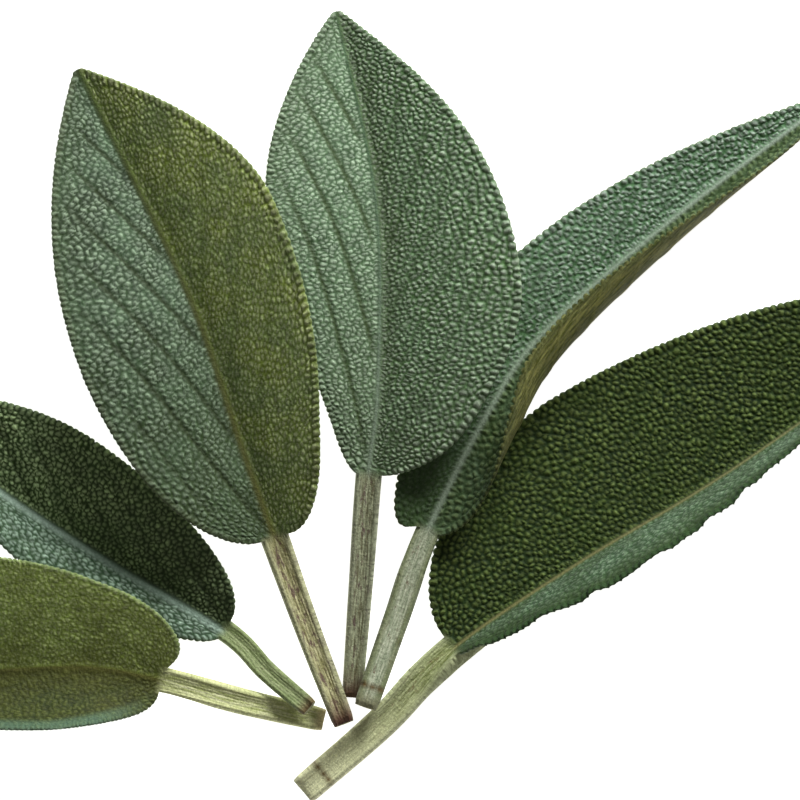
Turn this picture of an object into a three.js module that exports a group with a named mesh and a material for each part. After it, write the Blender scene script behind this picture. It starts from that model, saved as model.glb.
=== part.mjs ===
// A fan of six picked sage leaves lying on a flat surface, their cut stalk ends together.
// Lengths are in millimetres and angles in degrees. X runs across the fan, Y from the
// cut ends towards the leaf tips, and Z up from the surface the leaves lie on.

import * as THREE from "three";

// What all the leaves share.
const BLADE_THICKNESS = 0.45;
const CREASE_WIDTH = 1.0;       // distance over which the blade turns up beside the midrib
const STALK_TWIST_LENGTH = 8;   // the stalk takes up the blade's lean over this length
const GROOVE_ANGLE = 28;        // how steeply the sides of the groove on the stalk rise
const TIP_HALF_WIDTH = 0.3;
const LOBE_REACH = 0.55;        // share of the blade's base that the backward lobe takes up
const RIB_TAPER = 1.5;          // how fast the rib under the blade fades towards the tip
const RIB_AT_TIP = 0.15;        // what is left of the rib's width and depth at the tip

// How finely each leaf is divided.
const ROWS_ON_STALK = 7;
const ROWS_ON_BLADE = 30;
const COLUMNS_PER_HALF = 5;
const COLUMNS_ON_RIB = 2;
const SAMPLES_PER_SPAN = 100;
const OUTLINE_SAMPLES = 200;

// The six leaves. "line" runs from the cut end along the stalk and the midrib to the tip,
// and "blade_from" counts the point of it where the blade begins. In each half "width" is
// measured on the flattened blade, "widest" is the share of the blade's length where that
// width is reached, "base" and "tip" are the fullness of the outline's two ends, and
// "lobe" is how far the base runs back beside the stalk. The blade leans up by "fold"
// next to the midrib and by "rim" at full width, each given for the base and for the tip.
const LOWER_LEFT = {
  name: "leaf_lower_left",
  line: [
    [-9.5, -40.1, 2.1], [-19.5, -37.8, 3.0], [-29.8, -35.0, 4.2], [-39.0, -33.4, 4.8],
    [-51.0, -33.8, 4.8], [-64.0, -34.4, 3.8], [-77.0, -32.5, 0.8],
  ],
  blade_from: 2,
  left: { width: 9, widest: 0.3, base: 1.7, tip: 1.5, lobe: 0.3, fold: [5, 5], rim: [65, 60] },
  right: { width: 15.2, widest: 0.48, base: 1.7, tip: 2, lobe: 2.6, fold: [20, 24], rim: [14, 16] },
  stalk: { half_width: 1.5, end_half_width: 1.15, depth: 1.9 },
  colour: "#5f6e3f",
};

const LEFT = {
  name: "leaf_left",
  line: [
    [-11.4, -38.4, 5.2], [-16.6, -34.0, 3.4], [-22.0, -28.8, 1.7],
    [-36.3, -20.2, 1.3], [-50.0, -11.3, 1.3], [-66.5, 1.0, 2.2],
  ],
  blade_from: 2,
  left: { width: 7.3, widest: 0.4, base: 1.6, tip: 1.6, lobe: 0.1, fold: [28, 75], rim: [-20, 20] },
  right: { width: 12.4, widest: 0.5, base: 1.9, tip: 2, lobe: 0.2, fold: [25, 25], rim: [15, 10] },
  stalk: { half_width: 1.2, end_half_width: 1, depth: 1.5 },
  colour: "#2f3f2b",
};

const UPPER_LEFT = {
  name: "leaf_upper_left",
  line: [
    [-7.0, -40.4, 5.0], [-11.4, -29.0, 3.6], [-15.7, -17.2, 3.4],
    [-19.8, -5.8, 4.0], [-26.8, 14.0, 4.2], [-40.5, 41.5, 0.7],
  ],
  blade_from: 2,
  left: { width: 17.1, widest: 0.43, base: 1.8, tip: 2.1, lobe: 0, fold: [30, 30], rim: [15, 15] },
  right: { width: 16.2, widest: 0.6, base: 1.8, tip: 1.7, lobe: 1, fold: [32, 30], rim: [25, 22] },
  stalk: { half_width: 1.55, end_half_width: 1.1, depth: 1.8 },
  colour: "#4b5f45",
};

const UPPER_CENTRE = {
  name: "leaf_upper_centre",
  line: [
    [-6.0, -37.3, 1.8], [-4.9, -23.0, 3.0], [-3.9, -9.3, 4.4],
    [-2.7, 2.5, 5.2], [-3.0, 25.0, 4.4], [-8.0, 48.8, 0.9],
  ],
  blade_from: 2,
  left: { width: 14.1, widest: 0.6, base: 1.35, tip: 1.9, lobe: 0.2, fold: [24, 24], rim: [10, 10] },
  right: { width: 18.4, widest: 0.38, base: 1.6, tip: 1.75, lobe: 0.1, fold: [25, 25], rim: [10, 10] },
  stalk: { half_width: 1.5, end_half_width: 1.05, depth: 1.6 },
  colour: "#4f6455",
};

const UPPER_RIGHT = {
  name: "leaf_upper_right",
  line: [
    [-4.3, -38.3, 5.2], [-0.5, -27.5, 3.8], [3.5, -16.3, 3.7], [11.0, -1.6, 3.5],
    [17.8, 8.3, 3.0], [33.5, 22.2, 2.0], [54.8, 38.4, 0.8],
  ],
  blade_from: 2,
  left: { width: 9.4, widest: 0.43, base: 2.1, tip: 1.7, lobe: 2, fold: [8, 15], rim: [0, 5] },
  right: { width: 10.6, widest: 0.32, base: 1.45, tip: 1.65, lobe: 0.1, fold: [6, 58], rim: [140, 215] },
  stalk: { half_width: 1.5, end_half_width: 1.2, depth: 1.8 },
  colour: "#4d6350",
};

const RIGHT = {
  name: "leaf_right",
  line: [
    [-12.2, -49.0, 2.2], [-2.1, -40.2, 2.2], [6.7, -31.1, 2.2],
    [22.4, -20.4, 1.8], [43.0, -7.8, 1.2], [74.6, 14.8, 0.9],
  ],
  blade_from: 2,
  left: { width: 19.4, widest: 0.33, base: 1.84, tip: 2.15, lobe: 0, fold: [0, 6], rim: [-3, 3] },
  right: { width: 12.4, widest: 0.31, base: 1.4, tip: 1.55, lobe: 0, fold: [79, 88], rim: [50, 90] },
  stalk: { half_width: 1.9, end_half_width: 1.6, depth: 2.1 },
  colour: "#3b4f30",
};

const LEAVES = [LOWER_LEFT, LEFT, UPPER_LEFT, UPPER_CENTRE, UPPER_RIGHT, RIGHT];

const radians = THREE.MathUtils.degToRad;
const mix = THREE.MathUtils.lerp;
const clamp = THREE.MathUtils.clamp;

// Position along a leaf is measured from where its blade begins: negative on the stalk.
function traceLine(leaf) {
  const knots = leaf.line.map((point) => new THREE.Vector3(...point));
  const curve = new THREE.CatmullRomCurve3(knots, false, "catmullrom", 0.5);
  const samples = curve.getPoints(SAMPLES_PER_SPAN * (knots.length - 1));
  const along = [0];
  for (let i = 1; i < samples.length; i++) {
    along.push(along[i - 1] + samples[i].distanceTo(samples[i - 1]));
  }
  const stalk = along[SAMPLES_PER_SPAN * leaf.blade_from];
  const stations = along.map((distance) => distance - stalk);
  return { samples, stations, stalk, length: stations[stations.length - 1] };
}

// The point of the line at a station, the direction along it, and those to the left and up.
function axesAt(line, station) {
  const { samples, stations } = line;
  let i = 1;
  while (i < samples.length - 1 && stations[i] < station) {
    i += 1;
  }
  const share = (station - stations[i - 1]) / (stations[i] - stations[i - 1]);
  const origin = samples[i - 1].clone().lerp(samples[i], share);
  const before = samples[Math.max(0, i - 2)];
  const after = samples[Math.min(samples.length - 1, i + 1)];
  const forward = after.clone().sub(before).normalize();
  const left = new THREE.Vector3(0, 0, 1).cross(forward).normalize();
  const up = forward.clone().cross(left);
  return { origin, left, up };
}

// How the two halves lean at a station: on the stalk they turn into the sides of its groove.
function leansAt(leaf, line, station) {
  const share = clamp(station / line.length, 0, 1);
  const onStalk = THREE.MathUtils.smoothstep(-station, 0, STALK_TWIST_LENGTH);
  const lean = (pair) => radians(mix(mix(pair[0], pair[1], share), GROOVE_ANGLE, onStalk));
  return {
    leftFold: lean(leaf.left.fold),
    leftRim: lean(leaf.left.rim),
    rightFold: lean(leaf.right.fold),
    rightRim: lean(leaf.right.rim),
  };
}

// Going out by a distance along an arc whose slope changes evenly from one angle to another.
function arcStep(startAngle, endAngle, fullLength, distance) {
  const rate = (endAngle - startAngle) / fullLength + 1e-9;
  const angle = startAngle + rate * distance;
  return {
    out: (Math.sin(angle) - Math.sin(startAngle)) / rate,
    rise: (Math.cos(startAngle) - Math.cos(angle)) / rate,
    angle,
  };
}

// The upper surface at a distance across the flattened leaf, positive to the left.
function surfaceAt(leaf, line, station, across) {
  const { origin, left, up } = axesAt(line, station);
  const leans = leansAt(leaf, line, station);
  const onLeft = across >= 0;
  const side = onLeft ? 1 : -1;
  const fold = onLeft ? leans.leftFold : leans.rightFold;
  const rim = onLeft ? leans.leftRim : leans.rightRim;
  const width = onLeft ? leaf.left.width : leaf.right.width;
  const tilt = (side * (leans.leftFold - leans.rightFold)) / 2;
  const distance = Math.abs(across);
  const crease = arcStep(tilt, fold, CREASE_WIDTH, Math.min(distance, CREASE_WIDTH));
  const beyond = Math.max(distance - CREASE_WIDTH, 0);
  const blade = arcStep(fold, rim, width - CREASE_WIDTH, beyond);
  const angle = distance < CREASE_WIDTH ? crease.angle : blade.angle;
  const point = origin
    .clone()
    .addScaledVector(left, side * (crease.out + blade.out))
    .addScaledVector(up, crease.rise + blade.rise);
  const outward = up
    .clone()
    .multiplyScalar(Math.cos(angle))
    .addScaledVector(left, -side * Math.sin(angle));
  return { point, outward };
}

// The stalk is a full rib under the surface, and it thins to a fine rib under the blade.
function ribHalfWidth(leaf, line, station) {
  const onStalk = clamp(-station / line.stalk, 0, 1);
  const stalk = mix(leaf.stalk.half_width, leaf.stalk.end_half_width, onStalk);
  return stalk * mix(RIB_AT_TIP, 1, bladeLeft(line, station));
}

function bladeLeft(line, station) {
  return (1 - clamp(station / line.length, 0, 1)) ** RIB_TAPER;
}

function thicknessAt(leaf, line, station, across) {
  const fullDepth = leaf.stalk.depth - BLADE_THICKNESS;
  const depth = fullDepth * mix(RIB_AT_TIP, 1, bladeLeft(line, station));
  const offset = across / ribHalfWidth(leaf, line, station);
  return BLADE_THICKNESS + depth * Math.sqrt(Math.max(0, 1 - offset * offset));
}

// The edge of one half, as (station, distance across) from the stalk round to the tip.
function halfOutline(leaf, half, length) {
  const points = [];
  const start = leaf.stalk.half_width;
  for (let i = 0; i <= OUTLINE_SAMPLES; i++) {
    const share = i / OUTLINE_SAMPLES;
    const turn = (share * Math.PI) / 2;
    const back = half.lobe * Math.sin(Math.PI * Math.min(1, share / LOBE_REACH));
    const station = half.widest * length * (1 - Math.cos(turn) ** (2 / half.base)) - back;
    const across = mix(start, half.width, Math.sin(turn) ** (2 / half.base));
    points.push(new THREE.Vector2(station, across));
  }
  for (let i = 1; i <= OUTLINE_SAMPLES; i++) {
    const share = i / OUTLINE_SAMPLES;
    const station = length * mix(half.widest, 1, share);
    const across = mix(half.width, TIP_HALF_WIDTH, share ** half.tip);
    points.push(new THREE.Vector2(station, across));
  }
  return points;
}

// The same edge divided into equal steps, one for each row of the blade.
function evenSteps(points, count) {
  const along = [0];
  for (let i = 1; i < points.length; i++) {
    along.push(along[i - 1] + points[i].distanceTo(points[i - 1]));
  }
  const steps = [];
  let i = 1;
  for (let step = 0; step <= count; step++) {
    const target = (along[along.length - 1] * step) / count;
    while (i < points.length - 1 && along[i] < target) {
      i += 1;
    }
    const share = (target - along[i - 1]) / (along[i] - along[i - 1]);
    steps.push(points[i - 1].clone().lerp(points[i], share));
  }
  return steps;
}

// Distances from the midrib to the edge of a row: the rib under it first, then the blade.
function columnsOut(leaf, line, middle, edgeAcross) {
  const even = edgeAcross / COLUMNS_PER_HALF;
  const rib = Math.min(ribHalfWidth(leaf, line, middle), COLUMNS_ON_RIB * even);
  const columns = [];
  for (let i = 0; i <= COLUMNS_PER_HALF; i++) {
    const beyond = (i - COLUMNS_ON_RIB) / (COLUMNS_PER_HALF - COLUMNS_ON_RIB);
    columns.push(i < COLUMNS_ON_RIB ? (rib * i) / COLUMNS_ON_RIB : mix(rib, edgeAcross, beyond));
  }
  return columns;
}

// One closed ring of points round the leaf: over the top from left to right, then back under.
function ringAcross(leaf, line, middle, leftEdge, rightEdge) {
  const places = [];
  for (const across of columnsOut(leaf, line, middle, leftEdge.y).reverse()) {
    places.push([mix(middle, leftEdge.x, across / leftEdge.y), across]);
  }
  for (const across of columnsOut(leaf, line, middle, rightEdge.y).slice(1)) {
    places.push([mix(middle, rightEdge.x, across / rightEdge.y), -across]);
  }
  const over = [];
  const under = [];
  for (const [station, across] of places) {
    const { point, outward } = surfaceAt(leaf, line, station, across);
    const thickness = thicknessAt(leaf, line, station, across);
    over.push(point);
    under.unshift(point.clone().addScaledVector(outward, -thickness));
  }
  return over.concat(under);
}

function stalkRings(leaf, line) {
  const rings = [];
  for (let row = 0; row < ROWS_ON_STALK; row++) {
    const station = -line.stalk * (1 - row / ROWS_ON_STALK);
    const edge = new THREE.Vector2(station, ribHalfWidth(leaf, line, station));
    rings.push(ringAcross(leaf, line, station, edge, edge));
  }
  return rings;
}

function bladeRings(leaf, line) {
  const leftEdges = evenSteps(halfOutline(leaf, leaf.left, line.length), ROWS_ON_BLADE);
  const rightEdges = evenSteps(halfOutline(leaf, leaf.right, line.length), ROWS_ON_BLADE);
  const rings = [];
  for (let row = 0; row <= ROWS_ON_BLADE; row++) {
    const middle = (line.length * row) / ROWS_ON_BLADE;
    rings.push(ringAcross(leaf, line, middle, leftEdges[row], rightEdges[row]));
  }
  return rings;
}

function middleOf(ring) {
  const sum = new THREE.Vector3();
  ring.forEach((point) => sum.add(point));
  return sum.divideScalar(ring.length);
}

// Skin the rings and close both ends, with every face turned outwards.
function closedSkin(rings, about) {
  const size = rings[0].length;
  const corners = rings.flat();
  const firstMiddle = corners.push(middleOf(rings[0])) - 1;
  const lastMiddle = corners.push(middleOf(rings[rings.length - 1])) - 1;
  const faces = [];
  for (let row = 0; row < rings.length - 1; row++) {
    for (let i = 0; i < size; i++) {
      const a = row * size + i;
      const b = row * size + ((i + 1) % size);
      faces.push(a, b, a + size, b, b + size, a + size);
    }
  }
  const lastRow = (rings.length - 1) * size;
  for (let i = 0; i < size; i++) {
    const next = (i + 1) % size;
    faces.push(firstMiddle, next, i);
    faces.push(lastMiddle, lastRow + i, lastRow + next);
  }
  const places = corners.flatMap((corner) => corner.clone().sub(about).toArray());
  const geometry = new THREE.BufferGeometry();
  geometry.setAttribute("position", new THREE.Float32BufferAttribute(places, 3));
  geometry.setIndex(faces);
  geometry.computeVertexNormals();
  return geometry;
}

// A whole leaf is one piece: the stalk runs on into the midrib and the blade grows from it.
function makeLeaf(leaf) {
  const line = traceLine(leaf);
  const rings = stalkRings(leaf, line).concat(bladeRings(leaf, line));
  const bladeStart = new THREE.Vector3(...leaf.line[leaf.blade_from]);
  const material = new THREE.MeshStandardMaterial({
    color: leaf.colour,
    roughness: 0.85,
    metalness: 0,
  });
  const mesh = new THREE.Mesh(closedSkin(rings, bladeStart), material);
  mesh.name = leaf.name;
  mesh.position.copy(bladeStart);
  return mesh;
}

// Stand the fan on the surface with the middle of its outline at the origin.
function settle(group) {
  const box = new THREE.Box3().setFromObject(group, true);
  const middle = box.getCenter(new THREE.Vector3());
  group.position.set(-middle.x, -middle.y, -box.min.z);
}

const bunch = new THREE.Group();
bunch.name = "sage_bunch";
for (const leaf of LEAVES) {
  bunch.add(makeLeaf(leaf));
}
settle(bunch);

export default bunch;
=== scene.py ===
# %% [markdown]
# # A bunch of picked sage leaves
#
# Six whole leaves of garden sage lie fanned out on a pale surface with their cut stalks
# together. A sage blade is thin and soft, and its upper side is bullate: a fine net of veins
# is sunk into it and the green between them swells up into pebbles half a millimetre to a
# millimetre across. Each leaf here is one closed mesh, because a real leaf grew as one
# piece, from the cut end of its stalk to the tip of its blade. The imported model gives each
# leaf's place and size, and this script gives it its pebbles, veins, scalloped edge, down
# and colour.

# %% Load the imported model
import math

import bmesh
import bpy
import numpy as np
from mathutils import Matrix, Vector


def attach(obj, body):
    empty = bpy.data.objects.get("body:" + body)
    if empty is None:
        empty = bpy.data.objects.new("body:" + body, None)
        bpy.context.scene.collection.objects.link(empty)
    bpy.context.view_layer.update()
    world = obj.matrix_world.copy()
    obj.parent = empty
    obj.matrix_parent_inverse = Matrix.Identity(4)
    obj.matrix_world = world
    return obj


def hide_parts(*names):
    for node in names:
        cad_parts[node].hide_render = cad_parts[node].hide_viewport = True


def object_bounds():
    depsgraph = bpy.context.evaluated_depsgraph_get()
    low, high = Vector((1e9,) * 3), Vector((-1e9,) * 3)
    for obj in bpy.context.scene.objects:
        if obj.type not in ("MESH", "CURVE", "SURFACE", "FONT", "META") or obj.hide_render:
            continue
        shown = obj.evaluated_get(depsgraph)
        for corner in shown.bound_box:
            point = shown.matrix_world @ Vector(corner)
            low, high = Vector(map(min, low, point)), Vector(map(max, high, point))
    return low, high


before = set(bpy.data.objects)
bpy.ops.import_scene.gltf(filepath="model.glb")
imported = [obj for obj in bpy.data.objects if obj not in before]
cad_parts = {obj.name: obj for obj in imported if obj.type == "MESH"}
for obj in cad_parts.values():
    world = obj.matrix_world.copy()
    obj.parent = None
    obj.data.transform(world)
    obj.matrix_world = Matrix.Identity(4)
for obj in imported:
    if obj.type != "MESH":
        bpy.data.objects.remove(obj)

CAD_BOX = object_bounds()
print("CAD model, mm:", [[round(c * 1000, 2) for c in corner] for corner in CAD_BOX])

# %% [markdown]
# ## What all sage leaves share
#
# The blade is a sheet that hangs from the midrib. On the real leaf the midrib is a stiff rib
# that stands out under the blade and runs on into the stalk, which has a shallow groove on
# top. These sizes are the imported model's own, so the finished leaves fill the same space.

# %% Sizes of every leaf, in millimetres and degrees
MM = 0.001
BLADE_THICKNESS = 0.45
CREASE_WIDTH = 1.0  # the blade turns up beside the midrib over this distance
STALK_TWIST_LENGTH = 8.0  # the stalk takes up the blade's lean over this length
GROOVE_ANGLE = 28.0  # how steeply the sides of the groove on the stalk rise
TIP_HALF_WIDTH = 0.3
LOBE_REACH = 0.55  # share of the blade's base that the backward lobe takes up
RIB_TAPER = 1.5  # how fast the rib under the blade fades towards the tip
RIB_AT_TIP = 0.15  # what is left of the rib's width and depth at the tip

# %% [markdown]
# ## The six leaves
#
# Each leaf is described as a grower might measure it: the line of its stalk and midrib, the
# outline of each half of its blade when pressed flat, and how far each half leans up beside
# the midrib. Next to that come its skin's own sizes: how big its pebbles are, how far apart
# its side veins stand, how deep both are, and how closely its edge is scalloped. One
# description per leaf keeps every leaf different, as leaves on a plant are, while a single
# set of functions builds them all.

# %% What the numbers in the tables below mean
GROUPS = {
    # how wide a half is, at what share of its length it is widest, how full its base is,
    # how its tip tapers, and how far its base reaches back
    "outline": ("width", "widest", "base", "tip", "lobe"),
    # size beside the rib and at the edge, length for a width of 1, lean, and height
    "pebbles": ("pebble", "stretch", "pebble_lean", "relief"),
    # spacing, lean, bend, width and depth of its side veins, and how dark they are
    "veins": ("vein_gap", "vein_lean", "vein_bend", "vein_width", "vein_depth", "vein_tint"),
    # spacing, depth and reach of its scallops
    "teeth": ("tooth", "tooth_depth", "tooth_length"),
}
# fold, rim: its lean beside the midrib and at its edge, first at the base, then at the tip
# edge_tint, hem: how far its edge is tinted, and how wide that is if wider than a scallop
# beside, outer, shade: how much painted shade lies in the crease beside the midrib, how far
# it is darker near its edge, and how much painted shade lies on its base, mostly the shadow of a
# leaf lying over it
# bold, crinkle: how much higher its outer pebbles stand, and how far its edge is crinkled
PLAIN_HALF = {"hem": 0, "beside": 0, "outer": 0, "shade": 0, "bold": 0, "crinkle": 0}
# line: points of the stalk and midrib from the cut end to the tip
BLADE_FROM = 2  # the blade starts at this point of each line
STALK_WORDS = ("half_width", "end_half_width", "depth")
# rib_line, rib_aside: half the width of the line of the midrib, and its shift to the left
# ring: how far from the cut end a scar runs round the stalk
PLAIN_LEAF = {"rib_aside": 0, "ring": -9}
# rows, columns: rows of the net on stalk and blade, columns on both tops and underneath

# %% The leaf at the lower left, lying over its neighbour
LOWER_LEFT = {
    "node": "leaf_lower_left",
    "line": [
        (-9.5, -40.1, 2.1), (-19.5, -37.8, 3.0), (-29.8, -35.0, 4.2), (-39.0, -33.4, 4.8),
        (-51.0, -33.8, 4.8), (-64.0, -34.4, 3.8), (-77.0, -32.5, 0.8),
    ],
    "left": dict(
        outline=(9, 0.3, 1.7, 1.5, 0.3), fold=(5, 5), rim=(65, 60),
        pebbles=((0.44, 0.52), 1.6, 27, 0.15), veins=(7, 24, 0.02, 0.3, 0.04, 0.3),
        teeth=(0.62, 0.2, 0.7), edge_tint=0.5, hem=2.2, beside=0.4, bold=0.8
    ),
    "right": dict(
        outline=(15.2, 0.48, 1.7, 2, 2.6), fold=(20, 24), rim=(14, 16),
        pebbles=((0.4, 0.44), 1.4, 48, 0.1), veins=(7, 32, 0.02, 0.25, 0.03, 0.15),
        teeth=(0.62, 0.2, 0.7), edge_tint=0.1, beside=0.3, bold=0.8
    ),
    "stalk": (1.5, 1.15, 1.9), "rib_line": (0.35, 0.15), "rows": (36, 380),
    "columns": (38, 66, 12), "seed": 11,
}

# %% The dark leaf under it
LEFT = {
    "node": "leaf_left",
    "line": [
        (-11.4, -38.4, 5.2), (-16.6, -34.0, 3.4), (-22.0, -28.8, 1.7), (-36.3, -20.2, 1.3),
        (-50.0, -11.3, 1.3), (-66.5, 1.0, 2.2),
    ],
    "left": dict(
        outline=(7.3, 0.4, 1.6, 1.6, 0.1), fold=(28, 75), rim=(-20, 20),
        pebbles=((0.4, 0.52), 2.0, 12, 0.22), veins=(7, 36, 0.02, 0.35, 0.1, 0.6),
        teeth=(0.85, 0.25, 1), edge_tint=0.5
    ),
    "right": dict(
        outline=(12.4, 0.5, 1.9, 2, 0.2), fold=(25, 25), rim=(15, 10),
        pebbles=((0.46, 0.58), 1.3, 140, 0.24), veins=(7, 36, 0.02, 0.4, 0.16, 0.3),
        teeth=(0.85, 0.25, 1), edge_tint=0.1, shade=0.6
    ),
    "stalk": (1.2, 1, 1.5), "rib_line": (0.4, 0.38), "rib_aside": 0.32, "rows": (28, 380),
    "columns": (38, 62, 12), "seed": 12,
}

# %% The broad leaf at the upper left
UPPER_LEFT = {
    "node": "leaf_upper_left",
    "line": [
        (-7.0, -40.4, 5.0), (-11.4, -29.0, 3.6), (-15.7, -17.2, 3.4), (-19.8, -5.8, 4.0),
        (-26.8, 14.0, 4.2), (-40.5, 41.5, 0.7),
    ],
    "left": dict(
        outline=(17.1, 0.43, 1.8, 2.1, 0), fold=(30, 30), rim=(15, 15),
        pebbles=((0.43, 0.7), 1.75, 62, 0.32), veins=(12, 22, 0, 0.34, 0.19, 1),
        teeth=(0.8, 0.22, 1.1), edge_tint=0.25, outer=0.3, bold=0.3, shade=0.6
    ),
    "right": dict(
        outline=(16.2, 0.6, 1.8, 1.7, 1), fold=(32, 30), rim=(25, 22),
        pebbles=((0.46, 0.52), 1.5, 23, 0.13), veins=(9.6, 30, 0, 0.4, 0.03, 0.12),
        teeth=(0.88, 0.22, 1.25), edge_tint=0.2, beside=0.35, bold=1.8
    ),
    "stalk": (1.55, 1.1, 1.8), "rib_line": (0.5, 0.32), "rows": (30, 400),
    "columns": (92, 88, 14), "seed": 13,
}

# %% The tall leaf in the middle
UPPER_CENTRE = {
    "node": "leaf_upper_centre",
    "line": [
        (-6.0, -37.3, 1.8), (-4.9, -23.0, 3.0), (-3.9, -9.3, 4.4), (-2.7, 2.5, 5.2),
        (-3.0, 25.0, 4.4), (-8.0, 48.8, 0.9),
    ],
    "left": dict(
        outline=(14.1, 0.6, 1.35, 1.9, 0.2), fold=(24, 24), rim=(10, 10),
        pebbles=((0.44, 0.52), 1.75, 76, 0.2), veins=(13.5, 18, 0.01, 0.36, 0.17, 1),
        teeth=(0.8, 0.22, 1.1), edge_tint=0.15, outer=0.2, bold=0.9, shade=0.3
    ),
    "right": dict(
        outline=(18.4, 0.38, 1.6, 1.75, 0.1), fold=(25, 25), rim=(10, 10),
        pebbles=((0.42, 0.6), 1.7, 100, 0.32), veins=(9, 30, 0.01, 0.4, 0.06, 0.3),
        teeth=(0.85, 0.26, 1.1), edge_tint=0.1, beside=0.35, bold=0.3
    ),
    "stalk": (1.5, 1.05, 1.6), "rib_line": (0.32, 0.08), "rows": (34, 400),
    "columns": (80, 98, 14), "seed": 14,
}

# %% The leaf folded along its midrib, at the upper right
UPPER_RIGHT = {
    "node": "leaf_upper_right",
    "line": [
        (-4.3, -38.3, 5.2), (-0.5, -27.5, 3.8), (3.5, -16.3, 3.7), (11.0, -1.6, 3.5),
        (17.8, 8.3, 3.0), (33.5, 22.2, 2.0), (54.8, 38.4, 0.8),
    ],
    "left": dict(
        outline=(9.4, 0.43, 2.1, 1.7, 2), fold=(8, 15), rim=(0, 5),
        pebbles=((0.5, 0.58), 1.6, 109, 0.3), veins=(8, 34, 0.015, 0.35, 0.08, 0.5),
        teeth=(0.95, 0.32, 1.1), edge_tint=0.2, bold=0.3, shade=0.9
    ),
    "right": dict(
        outline=(10.6, 0.32, 1.45, 1.65, 0.1), fold=(6, 58), rim=(140, 215),
        pebbles=((0.75, 0.85), 1.3, 90, 0.36), veins=(8, 34, 0.015, 0.35, 0, 0.5),
        teeth=(0.95, 0.4, 1.2), edge_tint=0.35, beside=0.75, shade=0.6
    ),
    "stalk": (1.5, 1.2, 1.8), "rib_line": (0.4, 0.3), "ring": 2.6, "rows": (36, 420),
    "columns": (62, 56, 28), "seed": 15,
}

# %% The big dark leaf at the right
RIGHT = {
    "node": "leaf_right",
    "line": [
        (-12.2, -49.0, 2.2), (-2.1, -40.2, 2.2), (6.7, -31.1, 2.2), (22.4, -20.4, 1.8),
        (43.0, -7.8, 1.2), (74.6, 14.8, 0.9),
    ],
    "left": dict(
        outline=(19.4, 0.33, 1.84, 2.15, 0), fold=(0, 6), rim=(-3, 3),
        pebbles=((0.6, 0.7), 1.2, 108, 0.38), veins=(9, 40, 0.01, 0.4, 0.06, 0.4),
        teeth=(0.95, 0.3, 1.1), edge_tint=0, bold=0.2
    ),
    "right": dict(
        outline=(12.4, 0.31, 1.4, 1.55, 0), fold=(79, 88), rim=(50, 90),
        pebbles=((0.48, 0.7), 1.7, 152, 0.28), veins=(9, 40, 0.01, 0.4, 0.06, 0.3),
        teeth=(0.95, 0.34, 1.5), edge_tint=0.8, crinkle=0.45, beside=0.3, outer=0.85
    ),
    "stalk": (1.9, 1.6, 2.1), "rib_line": (0.26, 0.15), "ring": 3.4, "rows": (38, 420),
    "columns": (100, 58, 16), "seed": 16,
}

# %% Spell the tables out
LEAVES = [LOWER_LEFT, LEFT, UPPER_LEFT, UPPER_CENTRE, UPPER_RIGHT, RIGHT]
SIDES = {"left": 1, "right": -1}
for leaf in LEAVES:
    leaf.update({**PLAIN_LEAF, **leaf}, stalk=dict(zip(STALK_WORDS, leaf["stalk"])))
    for side in SIDES:
        half = {**PLAIN_HALF, **leaf[side]}
        for group, words in GROUPS.items():
            half.update(zip(words, half.pop(group)))
        leaf[side] = half
print("leaves described:", [leaf["node"] for leaf in LEAVES])

# %% [markdown]
# ## Laying a flat blade over its midrib
#
# A leaf is easiest to think of pressed flat: a place on it is so far along the midrib and so
# far out to one side. The functions below turn such a place into a point in space. The
# midrib is a smooth curve through a few points, and each half of the blade leaves it along
# an arc, which keeps distances across the blade true. A subdivision surface over a few
# control points would look as smooth, but it would not give this flat measure, and every
# vein, pebble and scallop further down is laid out in it.

# %% Small tools
def mix(first, second, share):
    return first + (second - first) * share


def ease(value):
    """Rises from 0 to 1 with a soft start and end, and holds both outside that."""
    held = np.clip(value, 0, 1)
    return held * held * (3 - 2 * held)


def unit(vectors):
    return vectors / np.linalg.norm(vectors, axis=-1, keepdims=True)


def lengths_along(points):
    """How far along a line of points each of them is."""
    return np.append(0, np.cumsum(np.linalg.norm(np.diff(points, axis=0), axis=1)))


def read_at(places, along, values):
    """Every column of the values along a line, read at places on it."""
    return np.stack([np.interp(places, along, column) for column in values.T], -1)


def put_in_scene(name, data):
    made = bpy.data.objects.new(name, data)
    bpy.context.scene.collection.objects.link(made)
    return made


# %% The midrib's line
SAMPLES_PER_SPAN = 100


def trace_line(leaf):
    """Points of the stalk and midrib, with how far each is along from the blade's start."""
    knots = np.array(leaf["line"], float)
    knots = np.vstack([2 * knots[0] - knots[1], knots, 2 * knots[-1] - knots[-2]])
    spans = len(knots) - 3
    places = np.linspace(0, spans, spans * SAMPLES_PER_SPAN + 1)
    first = np.minimum(places.astype(int), spans - 1)
    t = (places - first)[:, None]
    a, b, c, d = (knots[first + step] for step in range(4))
    points = (
        2 * b + (c - a) * t + (2 * a - 5 * b + 4 * c - d) * t**2 + (3 * b - a - 3 * c + d) * t**3
    ) / 2
    along = lengths_along(points)
    stalk = along[SAMPLES_PER_SPAN * BLADE_FROM]
    return {
        "points": points, "directions": unit(np.gradient(points, axis=0)),
        "stations": along - stalk, "stalk": stalk, "length": along[-1] - stalk,
    }


def axes_at(line, station):
    """The midrib's point at each station, and the directions to the leaf's left and up."""
    origin = read_at(station, line["stations"], line["points"])
    forward = unit(read_at(station, line["stations"], line["directions"]))
    left = unit(np.cross([0.0, 0.0, 1.0], forward))
    return origin, left, np.cross(forward, left)


# %% The blade's surface on both sides of it
LEAST_TURN = 1e-9  # lets an arc be straight without a division by zero


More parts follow.
